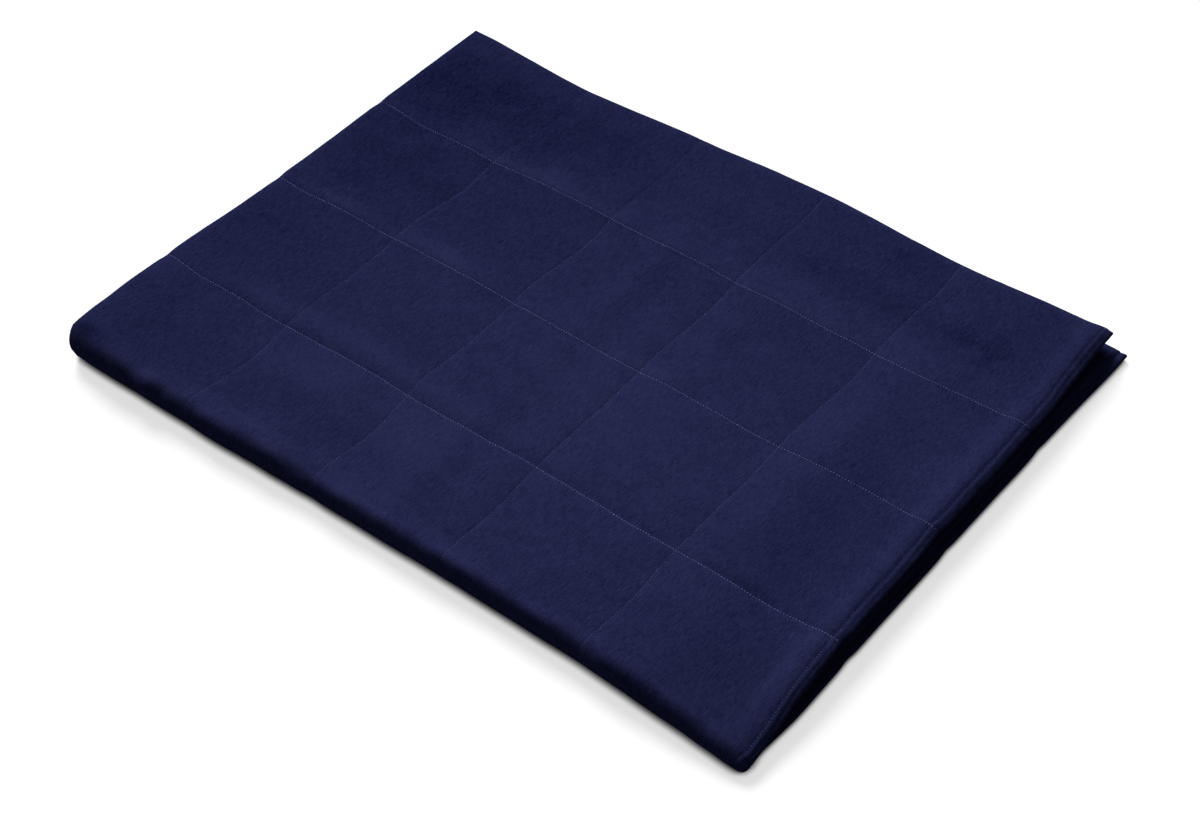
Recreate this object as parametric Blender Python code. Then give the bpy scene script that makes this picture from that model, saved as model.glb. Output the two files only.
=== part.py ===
"""Weighted blanket: a quilted, filled cloth, folded once in half and lying flat.

Metres, +Z up. The long quilting lines run along X and the short ones along Y. The fold is the
-Y side, the turned seams are the -X and +Y sides, and the topstitched hem is the +X side.
The origin is on the resting surface, in the middle of the folded blanket.
"""
import math
import random

import bmesh
import bpy
from mathutils import Vector

# Driving dimensions.
CELL_LENGTH = 0.195        # one quilted cell along X, between two short lines
CELL_DEPTH = 0.1875        # one quilted cell along Y, between two long lines
CELLS_ACROSS = 5           # cells along X
CELLS_DOWN = 8             # cells along the cloth, four on each side of the fold
SEAM_MARGIN = 0.008        # turned seam beyond the first cell at -X
HEM_MARGIN = 0.004         # the last cell is this much longer, up to the topstitch
HEM_WIDTH = 0.010          # topstitch to the edge of the hem
LAYER = 0.017              # thickness of a filled cell
STITCHED = 0.0105          # thickness along a quilting line
TOPSTITCHED = 0.0075       # thickness along the topstitch
SEAM_THICKNESS = 0.004     # thickness at the turned seams
EDGE_REACH = 0.06          # share of a cell over which the thickness falls to its edge's
LAYER_GAP = 0.004          # room between the two folded layers
PUFF_POWER = 0.40          # under 1: the cells rise steeply beside their stitching
PRESSED_LEVEL = 0.65       # share of the puff past which a face that lies on something is flat
CROWN_SPREAD = 0.07        # how much fuller or flatter a cell's crown is than its neighbours'
FOLD_START = -0.717        # Y of the line where the upper layer starts to bend
FOLD_GROOVE = 0.45         # depth of the stitched grooves in the fold, as a share of the others
FOLD_REACH = 0.5           # cells on each side of the fold over which its grooves grow shallow
FOLD_END_DRAW = 0.005      # how far the ends of the fold's nose are drawn in
FOLD_END_REACH = 0.4       # cells from each end over which they are drawn in
FOLD_STITCH_ANGLE = -25.0  # degrees: the middle long line lies a little under the fold's nose
CORNER_LIFT = 0.010        # the fold stands higher at its -X end
CORNER_PLACE = (0.15, 3.85)      # where it is highest, in cells across and down
CORNER_REACH = (0.55, 0.75)      # how far that reaches, in cells across and down
SURFACE_WAVE = 0.0008      # gentle unevenness of the upper layer
BOW_ROWS = 3.6             # rows over which the upper layer's long lines bow

# Mesh steps.
CELL_STEPS = (0.0, 0.06, 0.2, 0.5, 0.8, 0.94)     # edges across one cell, as shares of it
FOLD_ANGLES = (90, 68, 46, 22, 0, -25, -48, -70, -90)   # edges round the fold, in degrees

# The turned hem, from the topstitch outwards.
HEM = (
    {"step": 0.5, "thickness": 0.010},
    {"step": 1.0, "thickness": 0.006},
)

# How far the edges stand out past their straight lines, at each short line.
ACROSS = (
    {"line": 0, "far_upper": 0.010, "far_lower": 0.004, "fold": 0.002, "upper_bow": 0.006},
    {"line": 1, "far_upper": -0.004, "far_lower": 0.002, "fold": 0.002, "upper_bow": -0.003},
    {"line": 2, "far_upper": 0.003, "far_lower": 0.001, "fold": -0.002, "upper_bow": -0.002},
    {"line": 3, "far_upper": 0.007, "far_lower": 0.000, "fold": -0.005, "upper_bow": -0.001},
    {"line": 4, "far_upper": -0.004, "far_lower": 0.000, "fold": -0.004, "upper_bow": -0.003},
    {"line": 5, "far_upper": -0.001, "far_lower": 0.000, "fold": 0.002, "upper_bow": 0.003},
    {"line": 6, "far_upper": -0.002, "far_lower": 0.000, "fold": 0.006, "upper_bow": 0.003},
)

# How far seam and hem stand out past their straight lines, at each long line.
DOWN = (
    {"line": 0, "seam": 0.000, "hem": -0.006},
    {"line": 1, "seam": 0.000, "hem": 0.001},
    {"line": 2, "seam": 0.002, "hem": 0.000},
    {"line": 3, "seam": 0.007, "hem": 0.001},
    {"line": 4, "seam": -0.002, "hem": 0.008},
    {"line": 5, "seam": 0.001, "hem": 0.008},
    {"line": 6, "seam": 0.000, "hem": 0.010},
    {"line": 7, "seam": 0.000, "hem": 0.012},
    {"line": 8, "seam": 0.000, "hem": 0.015},
)

# The short lines lean a little: X at the far seam and at the fold, past their even places.
SHORT_LINES = (
    {"line": 0, "far": 0.000, "fold": 0.000},
    {"line": 1, "far": 0.009, "fold": 0.000},
    {"line": 2, "far": -0.003, "fold": 0.006},
    {"line": 3, "far": -0.006, "fold": 0.003},
    {"line": 4, "far": 0.004, "fold": 0.001},
    {"line": 5, "far": 0.000, "fold": 0.000},
)

LOWER_MIDDLE = LAYER / 2                        # height of the lower layer's middle
UPPER_MIDDLE = LAYER + LAYER_GAP + LAYER / 2    # height of the upper layer's middle
FOLD_ROWS = (3.80, 4.10)                        # cloth rows where the bend starts and ends


def between(table, column, place):
    """The column's value at a place between two rows of a table, joined by smooth steps."""
    last = len(table) - 1
    place = min(max(place, 0.0), float(last))
    row = min(int(place), last - 1)
    share = place - row
    ease = share * share * (3 - 2 * share)
    return table[row][column] * (1 - ease) + table[row + 1][column] * ease


def columns():
    """Places across the cloth: 0 to 5 are the seam, the short lines and the topstitch."""
    cells = [cell + step for cell in range(CELLS_ACROSS) for step in CELL_STEPS]
    return cells + [float(CELLS_ACROSS)] + [CELLS_ACROSS + part["step"] for part in HEM]


def fold_row(angle):
    """The cloth row that lies at an angle of the fold; the middle long line is row 4."""
    start, end = FOLD_ROWS
    if angle >= FOLD_STITCH_ANGLE:
        return start + (4 - start) * (90 - angle) / (90 - FOLD_STITCH_ANGLE)
    return 4 + (end - 4) * (FOLD_STITCH_ANGLE - angle) / (FOLD_STITCH_ANGLE + 90)


def fold_angle(row):
    """The angle of the fold at which a cloth row lies, the inverse of fold_row."""
    start, end = FOLD_ROWS
    if row <= 4:
        return 90 - (90 - FOLD_STITCH_ANGLE) * (row - start) / (4 - start)
    return FOLD_STITCH_ANGLE - (FOLD_STITCH_ANGLE + 90) * (row - 4) / (end - 4)


def rows():
    """Places along the cloth: 0 is the upper far seam, 4 is in the fold, 8 the lower seam."""
    even = [cell + step for cell in range(CELLS_DOWN) for step in CELL_STEPS] + [8.0]
    start, end = FOLD_ROWS
    flat = [row for row in even if row < start - 0.05 or row > end + 0.05]
    return sorted(flat + [fold_row(angle) for angle in FOLD_ANGLES])


def rise(place):
    """How full a cell is at a place along one direction: 0 at its lines, 1 at its middle."""
    share = place - math.floor(place)
    return max(math.sin(math.pi * share), 0.0) ** PUFF_POWER


def crowns():
    """Fullness of each cell, by its place across and along the cloth."""
    draw = random.Random(11)
    return {
        (across, down): 1 + draw.uniform(-CROWN_SPREAD, CROWN_SPREAD)
        for across in range(CELLS_ACROSS)
        for down in range(CELLS_DOWN)
    }


CROWNS = crowns()


def fullness(column, row):
    """Puff of the filling, from 0 on the stitching to 1 in the middle of a cell."""
    across = rise(column)
    along = rise(row)
    tension = max(1 - abs(row - 4) / FOLD_REACH, 0.0)
    least = (1 - FOLD_GROOVE) * tension ** 0.5
    return max(across, least) * max(along, least)


def unfilled_thickness(column, row):
    """Thickness of the stitched cloth alone."""
    seam = min(column, row, CELLS_DOWN - row) / EDGE_REACH
    topstitch = (CELLS_ACROSS - column) / EDGE_REACH
    if seam < 1:
        return SEAM_THICKNESS + (STITCHED - SEAM_THICKNESS) * seam
    if topstitch < 1:
        return TOPSTITCHED + (STITCHED - TOPSTITCHED) * topstitch
    return STITCHED


def half_thickness(column, row, side):
    """Distance from the layer's middle to its outer face (side 1) or its inner one (side -1)."""
    for part in HEM:
        if column == CELLS_ACROSS + part["step"]:
            return part["thickness"] / 2
    puff = fullness(column, row)
    pressed = side < 0 or row > 4
    if pressed:
        puff = min(puff / PRESSED_LEVEL, 1.0)
    elif row < FOLD_ROWS[0]:
        cell = (min(int(column), CELLS_ACROSS - 1), int(row))
        puff *= CROWNS[cell]
    base = unfilled_thickness(column, row) / 2
    return base + (LAYER / 2 - base) * puff


def lift(column, row):
    """Extra height of the upper layer: a raised fold corner and gentle waves."""
    across = (column - CORNER_PLACE[0]) / CORNER_REACH[0]
    down = (row - CORNER_PLACE[1]) / CORNER_REACH[1]
    corner = math.exp(-across ** 2 - down ** 2)
    waves = math.sin(1.7 * column + 0.9 * row) * math.cos(1.1 * column - 1.6 * row)
    return CORNER_LIFT * corner + SURFACE_WAVE * (waves + 1)


def nose_draw(row):
    """How far the cloth's edge is drawn in where it goes round the nose of the fold."""
    start, end = FOLD_ROWS
    if not start < row < end:
        return 0.0
    return FOLD_END_DRAW * math.cos(math.radians(fold_angle(row)))


def place_across(column, row):
    """X of a place on the cloth."""
    seam = -SEAM_MARGIN - between(DOWN, "seam", row)
    topstitch = CELLS_ACROSS * CELL_LENGTH + HEM_MARGIN + between(DOWN, "hem", row)
    if column > CELLS_ACROSS:
        return topstitch + HEM_WIDTH * (column - CELLS_ACROSS) - nose_draw(row)
    ends = [seam, topstitch]
    first = min(int(column), CELLS_ACROSS - 1)
    toward_fold = min(row, CELLS_DOWN - row) / 4
    line_places = []
    for line in (first, first + 1):
        if line == 0:
            line_places.append(ends[0])
        elif line == CELLS_ACROSS:
            line_places.append(ends[1])
        else:
            lean = SHORT_LINES[line]
            offset = lean["far"] * (1 - toward_fold) + lean["fold"] * toward_fold
            line_places.append(line * CELL_LENGTH + offset)
    share = column - first
    x = line_places[0] * (1 - share) + line_places[1] * share
    near_seam = max(1 - column / FOLD_END_REACH, 0.0)
    near_hem = max(1 - (CELLS_ACROSS - column) / FOLD_END_REACH, 0.0)
    return x + nose_draw(row) * (near_seam - near_hem)


def middle(column, row):
    """Y and Z of the layer's middle, and the outward direction there."""
    start, end = FOLD_ROWS
    fold_out = between(ACROSS, "fold", column)
    bend_y = FOLD_START - fold_out
    upper_z = UPPER_MIDDLE + lift(column, min(row, start))
    if row < start:
        far_y = between(ACROSS, "far_upper", column)
        bow = between(ACROSS, "upper_bow", column)
        y = -row * CELL_DEPTH + far_y * max(1 - row, 0) - fold_out * max(row - 3, 0) / (start - 3)
        y += bow * math.sin(math.pi * min(row / BOW_ROWS, 1))
        return y, upper_z, 0.0, 1.0
    if row > end:
        far_y = between(ACROSS, "far_lower", column)
        share = (row - end) / (CELLS_DOWN - end)
        return bend_y * (1 - share) + far_y * share, LOWER_MIDDLE, 0.0, -1.0
    angle = math.radians(fold_angle(row))
    height = (upper_z - LOWER_MIDDLE) / 2
    depth = height - 0.3 * (height - (UPPER_MIDDLE - LOWER_MIDDLE) / 2)
    y = bend_y - depth * math.cos(angle)
    z = LOWER_MIDDLE + height * (1 + math.sin(angle))
    return y, z, -math.cos(angle), math.sin(angle)


def settle(column, row, side):
    """Where a point of the flat, empty cover ends up on the filled and folded blanket."""
    x = place_across(column, row)
    y, z, out_y, out_z = middle(column, row)
    if side == 0:
        if column == 0:
            x -= SEAM_THICKNESS / 2
        if column == CELLS_ACROSS + HEM[-1]["step"]:
            x += HEM[-1]["thickness"] / 2
        if row in (0, CELLS_DOWN):
            y += SEAM_THICKNESS / 2
        return Vector((x, y, z))
    half = half_thickness(column, row, side) * side
    return Vector((x, y + out_y * half, z + out_z * half))


def cover():
    """Two panels joined round their edge, laid out flat, with each point's place on the cloth."""
    across = columns()
    down = rows()
    mesh = bmesh.new()
    bmesh.ops.create_grid(mesh, x_segments=len(across) - 1, y_segments=len(down) - 1, size=1)
    panel = mesh.faces[:]
    back = bmesh.ops.extrude_face_region(mesh, geom=panel)["geom"]
    back_points = [item for item in back if isinstance(item, bmesh.types.BMVert)]
    bmesh.ops.translate(mesh, verts=back_points, vec=(0, 0, 1))
    rim = [edge for edge in mesh.edges if abs(edge.verts[0].co.z - edge.verts[1].co.z) > 0.5]
    bmesh.ops.subdivide_edges(mesh, edges=rim, cuts=1)
    for point in mesh.verts:
        column = across[round((point.co.x + 1) / 2 * (len(across) - 1))]
        row = down[round((1 - point.co.y) / 2 * (len(down) - 1))]
        side = round(2 * point.co.z) - 1
        point.co = settle(column, row, side)
    return mesh


def centre_on_floor(mesh):
    """Moves the mesh so that the middle of its box is over the origin and its lowest point at 0."""
    low = Vector([min(point.co[axis] for point in mesh.verts) for axis in range(3)])
    high = Vector([max(point.co[axis] for point in mesh.verts) for axis in range(3)])
    shift = Vector((-(low.x + high.x) / 2, -(low.y + high.y) / 2, -low.z))
    bmesh.ops.translate(mesh, verts=mesh.verts, vec=shift)


def brushed_cloth():
    """Dark navy brushed cloth."""
    material = bpy.data.materials.new("navy_brushed_cloth")
    material.use_nodes = True
    shader = material.node_tree.nodes["Principled BSDF"]
    shader.inputs["Base Color"].default_value = (0.0125, 0.0125, 0.060, 1)
    shader.inputs["Roughness"].default_value = 0.85
    shader.inputs["Metallic"].default_value = 0.0
    return material


def blanket():
    """The one piece: the quilted cloth with its seams, hem and fold."""
    mesh = cover()
    centre_on_floor(mesh)
    bmesh.ops.recalc_face_normals(mesh, faces=mesh.faces)
    data = bpy.data.meshes.new("blanket")
    mesh.to_mesh(data)
    mesh.free()
    data.materials.append(brushed_cloth())
    data.shade_smooth()
    piece = bpy.data.objects.new("blanket", data)
    bpy.context.scene.collection.objects.link(piece)
    return piece


def main():
    for item in list(bpy.data.objects):
        bpy.data.objects.remove(item, do_unlink=True)
    blanket()


main()
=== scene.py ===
"""Looks of the weighted blanket: the quilted cloth, its stitching, the floor, lights and camera.

Metres, +Z up. The long quilting lines run along X and the short ones along Y. A place on the
cloth is a column (0 the turned seam, 1 to 4 the short lines, 5 the topstitch, 6 the hem's edge)
and a row (0 the upper far seam, 4 the long line in the fold, 8 the lower far seam).
"""

import math

import bmesh
import bpy
import numpy as np
from mathutils import Matrix, Vector


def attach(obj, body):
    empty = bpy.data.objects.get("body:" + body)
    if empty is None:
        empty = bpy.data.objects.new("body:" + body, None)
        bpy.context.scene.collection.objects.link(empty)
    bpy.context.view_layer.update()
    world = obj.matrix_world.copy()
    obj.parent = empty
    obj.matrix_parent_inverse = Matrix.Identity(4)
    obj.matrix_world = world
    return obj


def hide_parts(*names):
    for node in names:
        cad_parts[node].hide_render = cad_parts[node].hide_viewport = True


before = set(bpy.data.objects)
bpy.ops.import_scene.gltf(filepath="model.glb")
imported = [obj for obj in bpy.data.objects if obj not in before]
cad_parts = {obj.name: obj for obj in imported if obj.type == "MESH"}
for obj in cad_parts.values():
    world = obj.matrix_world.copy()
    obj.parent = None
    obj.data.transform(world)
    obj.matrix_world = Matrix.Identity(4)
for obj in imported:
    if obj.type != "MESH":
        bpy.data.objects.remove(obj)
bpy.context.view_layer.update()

# Driving dimensions. The cells, the layers and the fold are the solid's own; its stitched lines
# and its hem are worked out more finely here.
CELL_LENGTH = 0.195        # one quilted cell along X
CELL_DEPTH = 0.1875        # one quilted cell along Y
CELLS_ACROSS = 5
CELLS_DOWN = 8
FOLD_LINE = 4              # the long line in the fold
SEAM_MARGIN = 0.008        # turned seam beyond the first cell at -X
HEM_MARGIN = 0.0065        # the last cell is this much longer, up to the topstitch
HEM_WIDTH = 0.0072         # topstitch to the edge of the hem
LAYER = 0.017              # thickness of a filled cell
LAYER_GAP = 0.004          # room between the two folded layers
LOWER_MIDDLE = LAYER / 2
UPPER_MIDDLE = LAYER + LAYER_GAP + LAYER / 2
FRAME_SHIFT = np.array((-0.495, 0.36386, 0.0))    # puts the solid's middle over the origin
MILLIMETRE = 0.001
PERCENT = 0.01

# Thickness and filling.
STITCHED = 0.0118          # thickness along a quilting line
TOPSTITCHED = 0.0085       # thickness along the topstitch
SEAM_THICKNESS = 0.004     # thickness at the turned seams
SEAM_NOTCH = 0.45          # depth of the sewn groove round the seam, as a share of its roundness
EDGE_REACH = 0.06          # share of a cell over which the thickness falls to its edge's
PUFF_POWER = 0.28          # under 1: the cells rise steeply beside their stitching
SHORT_LINE_FILL = 0.25     # share of the puff that is left on the short lines
LONG_LINE_FILL = (0, 0.68, 0.55, 0.25, 0, 0.1, 0.1, 0.1, 0)     # and on each long line
PRESSED_LEVEL = 0.65       # share of the puff past which a face that lies on something is flat
PRESSED_FROM = (4.0, 4.04)      # rows between which the outer face comes to lie on the floor
CROWN_SPREAD = 0.07        # how much fuller or flatter a cell's crown is than its neighbours'
CROWN_SEED = 11
CROWN_FADE = 3.5           # row from which the crowns even out towards the fold

# The fold.
FOLD_FIRST = 3.80          # cloth row where the bend starts
FOLD_LAST = 4.10           # cloth row where it ends
FOLD_START = -0.717        # Y of the line where the upper layer starts to bend
FOLD_GROOVE = 0.45         # depth of the stitched grooves in the fold, as a share of the others
FOLD_REACH = 0.5           # cells on each side of the fold over which its grooves grow shallow
FOLD_TENSION = 0.5         # power: under 1, the grooves are shallow up to that reach's end
FOLD_END_DRAW = 0.005      # how far the ends of the fold's nose are drawn in
FOLD_END_REACH = 0.4       # cells from each end over which they are drawn in
FOLD_STITCH_ANGLE = -25.0  # degrees: the middle long line lies a little under the fold's nose
NOSE_EVENNESS = 0.3        # how little the nose's depth follows a fold that is raised or pinched
CORNER_LIFT = 0.010        # the fold stands higher at its -X end
CORNER_PLACE = (0.15, 3.85)      # where it is highest, in cells across and down
CORNER_REACH = (0.55, 0.75)      # how far that reaches, in cells across and down
SURFACE_WAVE = 0.0008      # gentle unevenness of the upper layer
WAVES = ((1.7, 0.9), (1.1, -1.6))     # radians per cell across and down of its two waves
BOW_ROWS = 3.6             # rows over which the upper layer's long lines bow

# The hem.
HEM_EDGE = 0.006           # thickness of the hem just before its rounded edge
HEM_TAPER = (0.3, 1.0)     # shares of the hem between which it thins to that
HEM_RISE = 0.0030          # how much the hem's middle stands above that of the cells
HEM_RISE_ACROSS = (4.85, 5.0)    # columns between which it rises
HEM_FILL = 0.40            # share of the puff that is left on the topstitch near the fold
HEM_FILL_ROWS = (3.0, 3.6)       # rows between which that puff comes in
HEM_FILL_END = 4.6         # row past the fold where it has gone again
HEM_DROOP = 0.0010         # how far the hem's edge hangs below its topstitch
HEM_DROOP_POWER = 1.5
HEM_LEVEL_ROWS = (4.0, 3.7)      # rise and droop: none at the first row, full at the second
HEM_SINK = 0.003           # how far the lower layer's empty hem sinks to the floor
HEM_SINK_ACROSS = (4.9, 5.1)     # columns between which it sinks
HEM_TAUT_ROWS = (3.78, 3.90)     # rows between which the fold pulls the thin hem taut
HEM_SLACK_ROWS = (4.12, 4.04)    # slack again at the first row, still taut at the second
HEM_TAUT_ACROSS = (4.6, 4.85)    # columns between which that begins
CORNER_PINCH = 0.013       # how far the upper layer is pressed down where fold and hem meet
PINCH_ACROSS = (4.3, 5.04)       # cells between which the pinch grows, across
PINCH_DOWN = (3.0, 3.85)         # and down
TIP_PINCH = 0.0075         # how much further it is at the hem itself
TIP_PINCH_ACROSS = (4.8, 5.06)
TIP_PINCH_DOWN = (3.3, 3.9)
TIP_OUT = 0.002            # how far the fold reaches out at that corner
TIP_OUT_ACROSS = (4.8, 5.04)
TIP_DRAW = 0.0046          # how far the hem is drawn in there, past the rest of the fold's ends
TIP_ROW = 4.2              # the row at which that is most
TIP_REACH = 0.2            # and how far to its sides it reaches, in cells
LINE_DRAW = 0.0014         # how far seam and hem are drawn in at the ends of the long lines
LINE_DRAW_REACH = 0.010    # how far to each side of a long line, in metres
SEAM_DRAW_REACH = 0.12     # how far into the cloth at the seam, in cells
HEM_DRAW_REACH = 0.05      # and at the hem

# How far the edges stand out past their straight lines, at each short line.
FAR_UPPER = (0.010, -0.004, 0.003, 0.007, -0.004, -0.001, -0.002)
FAR_LOWER = (0.004, 0.002, 0.001, 0.000, 0.000, 0.000, 0.000)
FOLD_OUT = (0.002, 0.002, -0.002, -0.005, -0.005, 0.0035, 0.0035)
UPPER_BOW = (0.006, -0.003, -0.002, -0.001, -0.003, 0.003, 0.003)
# The same for seam and hem, at each long line.
SEAM_OUT = (0.000, 0.000, 0.002, 0.007, -0.002, 0.001, 0.000, 0.000, 0.000)
HEM_OUT = (-0.006, 0.001, 0.000, 0.001, 0.008, 0.0068, 0.0076, 0.0095, 0.0145)
# X of the short lines at the far seam and at the fold, past their even places.
LEAN_FAR = (0.000, 0.009, -0.003, -0.006, 0.004, 0.000)
LEAN_FOLD = (0.000, 0.000, 0.006, 0.003, 0.001, 0.000)

# Soft ridges and troughs of the upper layer: column, row, reach across and reach along in
# cells, and height in millimetres.
SWELLS = (
    (2.50, 2.00, 0.13, 2.60, 1.0),      # crease down the middle, from storage
    (3.75, 0.50, 1.30, 0.10, 1.5),      # crease across the far cells
    (4.30, 2.60, 0.20, 1.30, 1.8),
    (4.93, 2.10, 0.07, 1.90, 1.0),      # fullness beside the topstitch
    (1.60, 0.95, 1.60, 0.12, 1.8),      # fullness along the long lines
    (3.80, 0.93, 0.90, 0.14, 1.5),
    (0.60, 1.93, 0.45, 0.09, 1.6),
    (1.50, 1.92, 0.40, 0.10, 1.8),
    (2.60, 1.94, 0.50, 0.08, 0.8),
    (0.75, 2.92, 0.45, 0.08, 1.3),
    (1.45, 2.90, 0.45, 0.09, 1.3),
    (2.30, 2.90, 0.40, 0.09, 0.8),
    (1.45, 3.00, 0.50, 0.03, -0.6),     # tight stitching
    (3.30, 2.985, 0.90, 0.028, -0.9),
    (4.55, 2.99, 0.40, 0.03, -1.0),
    (1.30, 3.76, 1.00, 0.05, 0.7),      # fullness at the edge of the fold
    (3.00, 3.85, 2.30, 0.05, 1.2),
    (0.04, 3.86, 0.22, 0.09, -4.5),
    (0.48, 3.88, 0.12, 0.05, 1.0),
    (0.67, 3.905, 0.085, 0.055, 5.4),
    (0.80, 3.87, 0.035, 0.06, -3.4),
    (1.22, 3.87, 0.10, 0.05, 1.2),
    (1.62, 3.86, 0.08, 0.05, 1.4),
    (1.90, 3.85, 0.10, 0.05, -1.2),
    (2.22, 3.87, 0.09, 0.05, 2.2),
    (2.52, 3.80, 0.07, 0.07, 1.2),
    (2.42, 3.85, 0.05, 0.06, -0.8),
    (1.28, 2.30, 0.16, 0.05, 0.5),
    (2.45, 2.55, 0.10, 0.12, -0.9),
    (2.58, 1.35, 0.08, 0.30, -0.9),
    (1.60, 3.52, 0.70, 0.12, -1.0),
)

# The same for how far the cloth has crept across and along, in millimetres.
CREEP_ACROSS = (
    (1.00, 0.38, 0.30, 0.30, 8.0),
    (1.00, 1.33, 0.30, 0.22, 5.2),
    (1.00, 1.80, 0.30, 0.20, -3.2),
    (1.00, 2.40, 0.30, 0.30, 2.8),
    (1.00, 3.35, 0.30, 0.30, 11.0),
    (2.00, 0.40, 0.30, 0.28, 6.0),
    (2.00, 1.28, 0.30, 0.26, 6.0),
    (2.00, 1.85, 0.30, 0.18, -2.6),
    (2.00, 2.40, 0.30, 0.22, 2.3),
    (2.00, 2.88, 0.30, 0.12, -2.2),
    (2.00, 3.34, 0.30, 0.22, 7.0),
    (3.00, 0.32, 0.30, 0.36, 5.6),
    (3.00, 1.30, 0.30, 0.42, 5.8),
    (3.00, 2.35, 0.30, 0.34, 3.0),
    (3.00, 3.38, 0.30, 0.20, 3.0),
    (4.00, 0.33, 0.30, 0.22, 5.4),
    (4.00, 1.32, 0.30, 0.34, 5.8),
    (4.00, 2.30, 0.30, 0.38, 2.8),
    (4.00, 3.48, 0.30, 0.30, 5.4),
)
CREEP_ALONG = (
    (0.40, 1.00, 0.26, 0.40, 7.4),
    (1.02, 1.00, 0.22, 0.40, 4.0),
    (3.02, 1.00, 0.22, 0.40, 2.4),
    (4.00, 1.00, 1.60, 0.40, 5.6),
    (4.85, 1.00, 0.20, 0.40, 2.6),
    (0.20, 2.00, 0.24, 0.35, 5.6),
    (1.35, 2.00, 0.55, 0.35, -2.6),
    (2.60, 2.00, 0.40, 0.35, 3.4),
    (3.80, 2.00, 0.30, 0.35, 2.0),
    (4.95, 2.00, 0.30, 0.35, 6.0),
    (0.30, 3.00, 0.26, 0.40, 7.4),
    (0.95, 3.00, 0.38, 0.35, 3.0),
    (2.20, 3.00, 0.20, 0.35, 1.8),
    (3.75, 3.00, 0.30, 0.35, 2.0),
    (4.60, 3.00, 0.30, 0.35, 4.0),
)

# Painted light and shade: how much the cloth's colour is lightened or darkened, as a share of
# it.
# It stands for the fall of light: darker at the far -X corner, glows beside the long lines and
# the fold.
PAINTED_SHADING_PATCHES = (
    (0.20, 0.45, 1.00, 0.60, -0.31),
    (0.40, 1.45, 0.55, 0.45, -0.18),
    (1.40, 0.45, 0.50, 0.30, -0.14),
    (0.35, 2.40, 0.50, 0.45, -0.12),
    (0.30, 3.40, 0.40, 0.40, -0.10),
    (3.60, 0.58, 0.75, 0.15, -0.11),
    (4.60, 0.50, 0.35, 0.35, -0.06),
    (4.45, 0.60, 0.40, 0.10, -0.06),
    (1.40, 1.50, 0.50, 0.40, -0.06),
    (2.60, 1.38, 0.09, 0.25, -0.08),
    (4.35, 0.42, 0.08, 0.22, -0.10),
    (4.55, 0.62, 0.05, 0.20, -0.12),
    (4.72, 0.40, 0.05, 0.18, -0.10),
    (1.25, 0.955, 0.80, 0.045, 0.20),
    (3.30, 0.960, 1.60, 0.035, 0.09),
    (2.70, 1.018, 2.10, 0.014, -0.08),
    (1.45, 0.87, 0.13, 0.10, 0.16),
    (3.60, 0.86, 0.70, 0.12, 0.10),
    (0.55, 1.945, 0.34, 0.050, 0.26),
    (1.40, 1.935, 0.26, 0.065, 0.34),
    (2.60, 1.960, 0.60, 0.035, 0.08),
    (2.95, 1.950, 0.30, 0.060, 0.12),
    (4.80, 1.60, 0.12, 0.25, 0.08),
    (1.90, 2.018, 2.00, 0.014, -0.05),
    (0.75, 2.92, 0.35, 0.06, 0.08),
    (1.40, 2.88, 0.40, 0.07, 0.10),
    (1.45, 3.15, 0.40, 0.14, 0.13),
    (2.22, 3.17, 0.20, 0.22, 0.18),
    (1.70, 3.52, 0.70, 0.10, -0.08),
    (3.12, 2.00, 0.12, 1.20, 0.08),
    (4.12, 1.90, 0.13, 1.10, 0.10),
    (4.52, 2.60, 0.16, 0.90, -0.10),
    (4.92, 1.90, 0.06, 2.20, 0.07),
    (4.90, 3.35, 0.08, 0.50, 0.14),
    (1.80, 3.74, 1.30, 0.04, 0.12),
    (0.05, 3.80, 0.20, 0.05, -0.45),
    (3.40, 2.30, 0.50, 0.60, 0.05),
    (2.70, 2.60, 1.50, 1.10, 0.06),
    (1.80, 3.45, 1.00, 0.30, 0.05),
    (2.75, 2.40, 0.20, 1.50, 0.09),
    (2.10, 2.88, 1.20, 0.07, 0.09),
    (3.75, 0.20, 0.22, 0.22, -0.15),
    (3.20, 0.28, 0.45, 0.25, -0.07),
    (2.15, 0.22, 0.45, 0.22, -0.08),
    (4.70, 0.20, 0.20, 0.15, -0.07),
    (0.35, 0.12, 0.30, 0.20, 0.13),
    (4.86, 2.80, 0.05, 0.30, -0.07),
    (0.15, 2.40, 0.20, 0.50, -0.05),
)

# Random unevenness: how far apart its bumps are, how strong they are, and the seed of the draw.
# Strengths are in metres; the crease's is in cells and those of a fray are shares.
BROAD_SWELLS = (0.085, 0.0009, 3)
DENTS = (0.034, 0.0004, 4)
LONG_LINE_PULLS = (0.045, 0.0006, 5)
SHORT_LINE_PULLS = (0.050, 0.0006, 6)
LONG_LINE_PUCKERS = (0.014, 0.0003, 7)
SHORT_LINE_PUCKERS = (0.014, 0.0003, 8)
FOLD_CRUMPLES = ((0.020, 0.0012, 9), (0.040, 0.0014, 10))
SLOW_WANDER = (0.060, 0.0010)     # its seeds are the two below
QUICK_WANDER = (0.022, 0.0004)    # and this one takes the seed after each of them
ACROSS_SEED = 31
ALONG_SEED = 33
PATCH_FRAY = ((0.016, 0.2, 13), (0.050, 0.2, 14))
CREASE_WANDER = (0.12, 0.04, 12)
EDGE_LIGHT_FRAY = ((0.012, 0.6, 15), (0.035, 0.6, 16))
PULL_REACH = 0.012         # how far from a line its pulls reach
LONG_PUCKER_REACH = 0.011
SHORT_PUCKER_REACH = 0.009
PUCKER_STRETCH = 0.4       # puckers run off their line, longer than they are wide
CRUMPLE_STRETCH = 1.2
CRUMPLE_ROW = 3.84
CRUMPLE_REACH = 0.10
RELIEF_END = (4.0, 4.06)   # rows between which the relief ends: below them the face is pressed
WANDER_AT_EDGE = 0.35      # share of the wander that is left at the cloth's edges
WANDER_EDGE_REACH = 0.2    # cells from the edge over which it grows to the full one
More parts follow.
